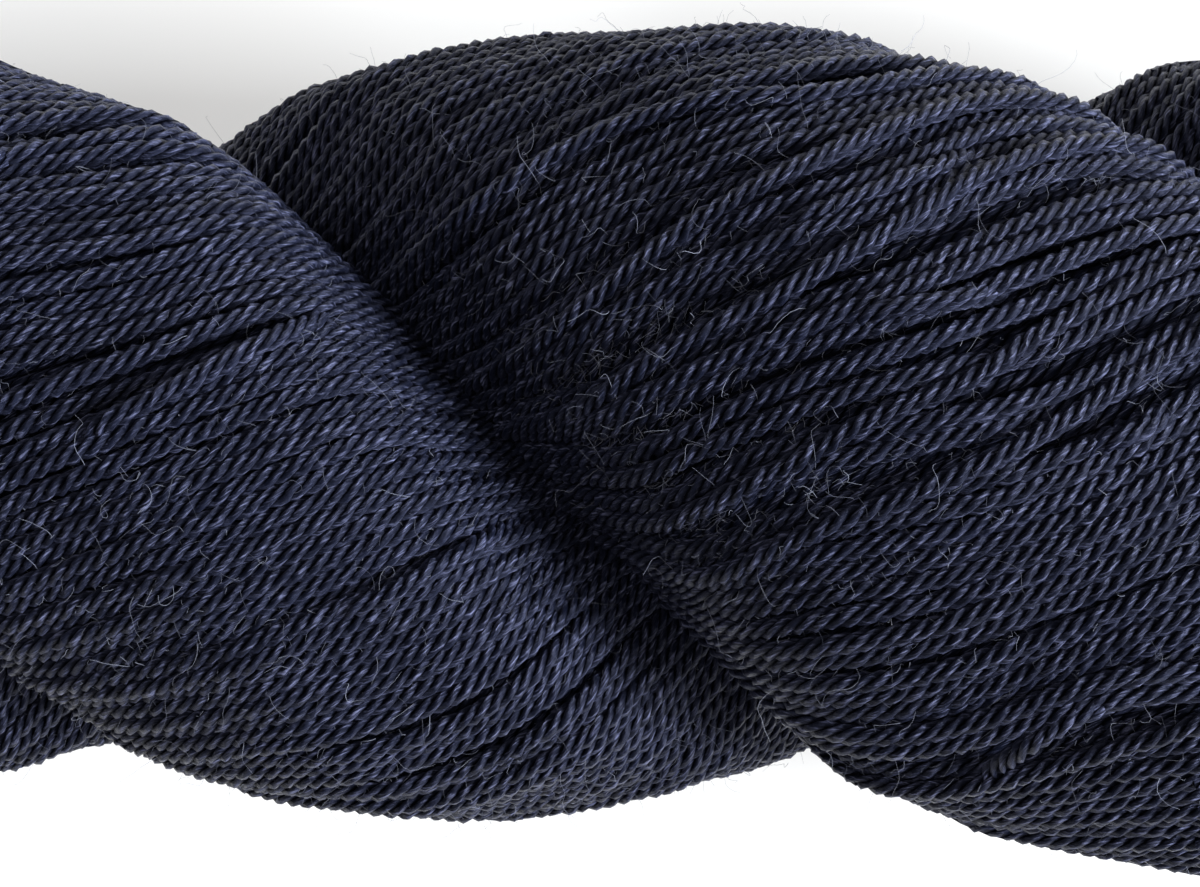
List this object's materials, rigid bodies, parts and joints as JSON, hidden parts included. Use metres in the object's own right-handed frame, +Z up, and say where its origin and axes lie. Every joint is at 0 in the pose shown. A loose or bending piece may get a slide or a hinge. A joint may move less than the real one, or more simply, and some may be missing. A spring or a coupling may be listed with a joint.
{
  "type": "skein of yarn",
  "caption": "Twisted hank of dark navy plied yarn: one wound loop, twisted and folded so that two thick bundles lie round each other.",
  "frame": {"origin": "centre of the bounding box in X and Y, at the resting surface z = 0", "axes": "+X along the hank's twist axis, +Z up from the surface it rests on, +Y across the hank"},
  "size_m": [0.2862, 0.0728, 0.0694],
  "materials": {
    "yarn": "soft matt plied wool with a light sheen and loose fibres"
  },
  "bodies": {
    "root": {"skein": "yarn"}
  },
  "joints": []
}
